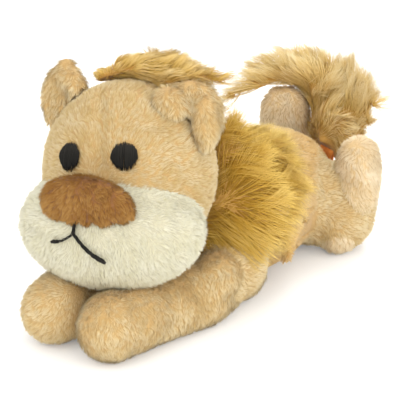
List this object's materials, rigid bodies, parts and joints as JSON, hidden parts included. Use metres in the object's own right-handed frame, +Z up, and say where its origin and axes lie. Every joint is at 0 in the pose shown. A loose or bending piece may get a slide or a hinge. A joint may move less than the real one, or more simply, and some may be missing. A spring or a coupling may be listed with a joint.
{
  "type": "plush magnet",
  "caption": "Small stuffed lion lying on its belly, with a round magnet sewn into each forepaw, a long-pile mane, crest and tail tuft, and upturned hind feet.",
  "frame": {"origin": "middle of the flat patch of the belly, on the surface that the lion lies on", "axes": "+Z up; the lion faces -Y, so +Y runs from the nose to the tail; +X is the lion's own left"},
  "size_m": [0.0636, 0.1427, 0.0742],
  "materials": {
    "tan_plush": "short tan plush, soft pile of about 2 mm",
    "cream_plush": "short cream plush",
    "brown_plush": "short brown plush on the nose",
    "long_pile": "long golden-brown pile, silky, brown at its roots",
    "black_thread": "black embroidery thread in satin stitch",
    "orange_ribbon": "orange woven ribbon, bare",
    "fibre_filling": "white polyester fibre, loosely packed",
    "pouch_cotton": "thin undyed cotton",
    "magnet_nickel": "nickel-plated disc magnet"
  },
  "bodies": {
    "body": {"back_panel": "tan_plush", "belly_panel": "tan_plush", "body_filling": "fibre_filling", "mane_left": "long_pile", "mane_right": "long_pile", "label": "orange_ribbon"},
    "head": {"face_left_panel": "tan_plush", "face_right_panel": "tan_plush", "head_back_panel": "tan_plush", "muzzle_panel": "cream_plush", "head_filling": "fibre_filling", "nose_patch": "brown_plush", "left_eye": "black_thread", "right_eye": "black_thread", "mouth_stitch": "black_thread", "left_ear_back": "tan_plush", "left_ear_front": "tan_plush", "right_ear_back": "tan_plush", "right_ear_front": "tan_plush", "crest_tuft": "long_pile"},
    "left_foreleg": {"left_foreleg_upper": "tan_plush", "left_foreleg_under": "tan_plush", "left_foreleg_filling": "fibre_filling", "left_magnet_pouch": "pouch_cotton", "left_magnet": "magnet_nickel"},
    "right_foreleg": {"right_foreleg_upper": "tan_plush", "right_foreleg_under": "tan_plush", "right_foreleg_filling": "fibre_filling", "right_magnet_pouch": "pouch_cotton", "right_magnet": "magnet_nickel"},
    "left_hind_leg": {"left_hind_leg_outer": "tan_plush", "left_hind_leg_inner": "tan_plush", "left_hind_leg_filling": "fibre_filling"},
    "right_hind_leg": {"right_hind_leg_outer": "tan_plush", "right_hind_leg_inner": "tan_plush", "right_hind_leg_filling": "fibre_filling"},
    "tail": {"tail_core": "tan_plush", "tail_tuft": "long_pile"}
  },
  "joints": [
    {"name": "head_turn", "type": "hinge", "parent": "body", "child": "head", "pos_m": [-0.002, -0.047, 0.0435], "axis": [0, 0, 1], "range_deg": [-15, 15], "stiffness_Nm_per_rad": 0.02},
    {"name": "left_foreleg_swing", "type": "hinge", "parent": "body", "child": "left_foreleg", "pos_m": [0.0155, -0.02, 0.00825], "axis": [0, 0, 1], "range_deg": [0, 50], "stiffness_Nm_per_rad": 0.01},
    {"name": "right_foreleg_swing", "type": "hinge", "parent": "body", "child": "right_foreleg", "pos_m": [-0.0155, -0.02, 0.00825], "axis": [0, 0, 1], "range_deg": [-50, 0], "stiffness_Nm_per_rad": 0.01},
    {"name": "left_hind_leg_fold", "type": "hinge", "parent": "body", "child": "left_hind_leg", "pos_m": [0.02189, 0.02444, 0.007], "axis": [0.4384, 0.8988, 0], "range_deg": [0, 70], "stiffness_Nm_per_rad": 0.01},
    {"name": "right_hind_leg_fold", "type": "hinge", "parent": "body", "child": "right_hind_leg", "pos_m": [-0.01317, 0.04153, 0.007], "axis": [0.4384, 0.8988, 0], "range_deg": [-70, 0], "stiffness_Nm_per_rad": 0.01},
    {"name": "tail_drop", "type": "hinge", "parent": "body", "child": "tail", "pos_m": [0.00586, 0.03949, 0.0253], "axis": [-0.8988, 0.4384, 0], "range_deg": [0, 35], "stiffness_Nm_per_rad": 0.01}
  ]
}
